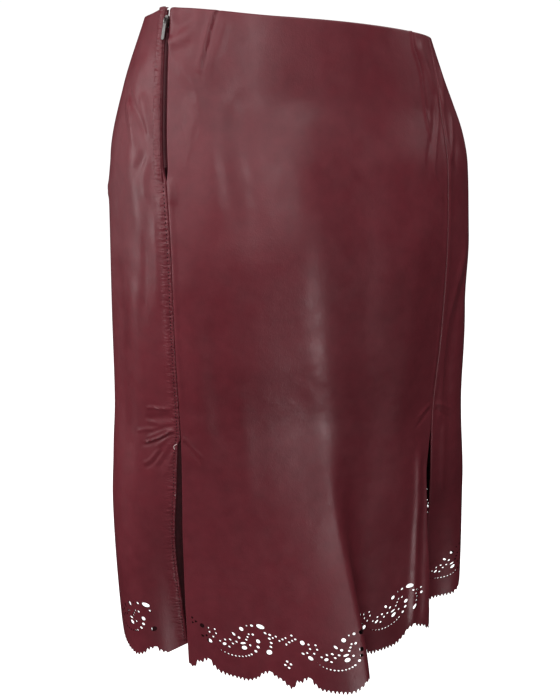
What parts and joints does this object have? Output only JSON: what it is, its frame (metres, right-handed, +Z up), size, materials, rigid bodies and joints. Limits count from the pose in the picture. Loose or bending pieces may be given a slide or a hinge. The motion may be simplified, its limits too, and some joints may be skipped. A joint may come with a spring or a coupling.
{
  "type": "leather skirt",
  "caption": "Knee-length fitted leather skirt in its worn shape, with back-seam slits, a zip in the left back seam and a scalloped cutwork hem.",
  "frame": {"origin": "middle of the waist opening, where the wearer's waist holds the skirt", "axes": "+Z up through the waist, the skirt's front faces -Y, its back +Y, and the wearer's left is +X"},
  "size_m": [0.3915, 0.2922, 0.6462],
  "materials": {
    "leather": "burgundy nappa leather, smooth with a soft sheen",
    "zip_tape": "dark burgundy woven zip tape",
    "zip_teeth": "dark burgundy nylon coil",
    "steel": "polished nickel-plated slider and pull"
  },
  "bodies": {
    "skirt": {"back_panel": "leather", "front_panel": "leather", "slit_underlay": "leather", "zip_lap": "leather", "zip_tape": "zip_tape", "zip_chain": "zip_teeth", "zip_slider": "steel"},
    "zip_pull": {"zip_pull": "steel"}
  },
  "joints": [
    {"name": "pull_swing", "type": "hinge", "parent": "skirt", "child": "zip_pull", "pos_m": [0.12256, 0.05239, 0.01014], "axis": [0.6046, -0.7962, -0.0229], "range_deg": [0, 150]}
  ]
}
